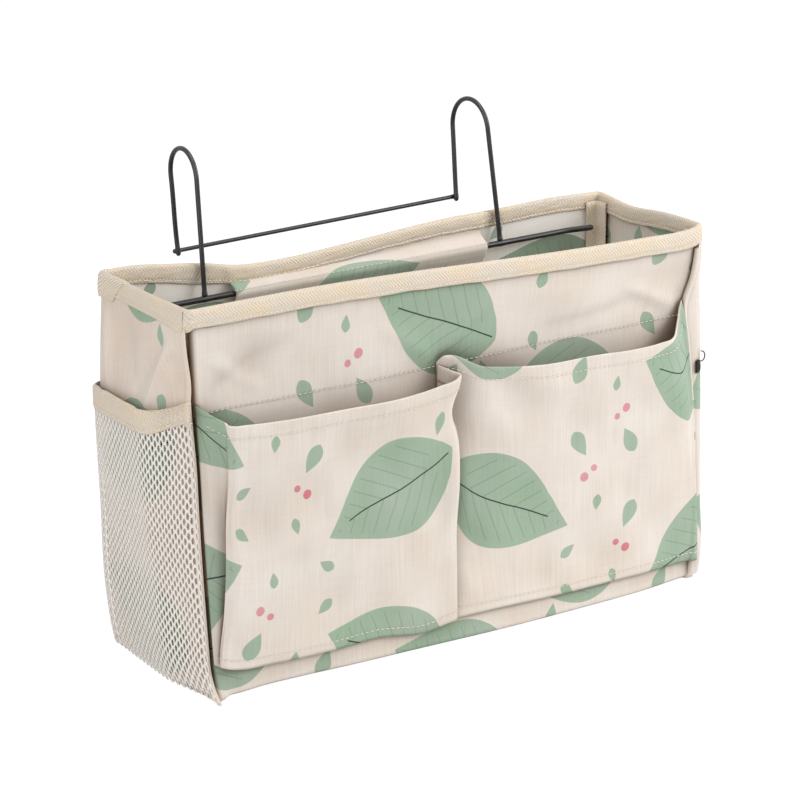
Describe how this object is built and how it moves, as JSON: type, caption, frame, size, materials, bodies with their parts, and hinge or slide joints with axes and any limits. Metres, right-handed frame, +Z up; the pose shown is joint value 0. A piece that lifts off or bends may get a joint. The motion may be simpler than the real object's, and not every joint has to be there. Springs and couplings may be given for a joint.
{
  "type": "bedside caddy",
  "caption": "Open-topped printed canvas caddy with bellows front pockets, a net side pocket and a tilting welded wire frame that hooks over a bed rail.",
  "frame": {"origin": "middle of the base, on the surface that the caddy stands on", "axes": "+X to the right seen from the front, along the long side; +Y from the front towards the bed rail; +Z up"},
  "size_m": [0.4035, 0.1725, 0.3092],
  "materials": {
    "canvas": "plain-weave printed canvas, pinkish cream with sage green motifs",
    "tape": "cream twill tape",
    "net": "off-white knitted net",
    "black_tape": "black woven tape",
    "wire": "satin black paint"
  },
  "bodies": {
    "bag": {"front_panel": "canvas", "back_panel": "canvas", "left_side_panel": "canvas", "right_side_panel": "canvas", "base_panel": "canvas", "rim_tape_front": "tape", "rim_tape_back": "tape", "rim_tape_left": "tape", "rim_tape_right": "tape", "seam_tape_front_left": "tape", "seam_tape_front_right": "tape", "seam_tape_back_left": "tape", "seam_tape_back_right": "tape", "front_pocket_left": "canvas", "front_pocket_right": "canvas", "net_pocket": "net", "net_pocket_tape": "tape", "bar_sleeve": "canvas", "side_tab": "black_tape", "side_hook": "wire"},
    "hook_frame": {"frame_bar": "wire", "hook_left": "wire", "hook_right": "wire", "hook_crossbar": "wire"}
  },
  "joints": [
    {"name": "hook_frame_tilt", "type": "hinge", "parent": "bag", "child": "hook_frame", "pos_m": [0, 0.04768, 0.2157], "axis": [1, 0, 0], "range_deg": [0, 105]}
  ]
}
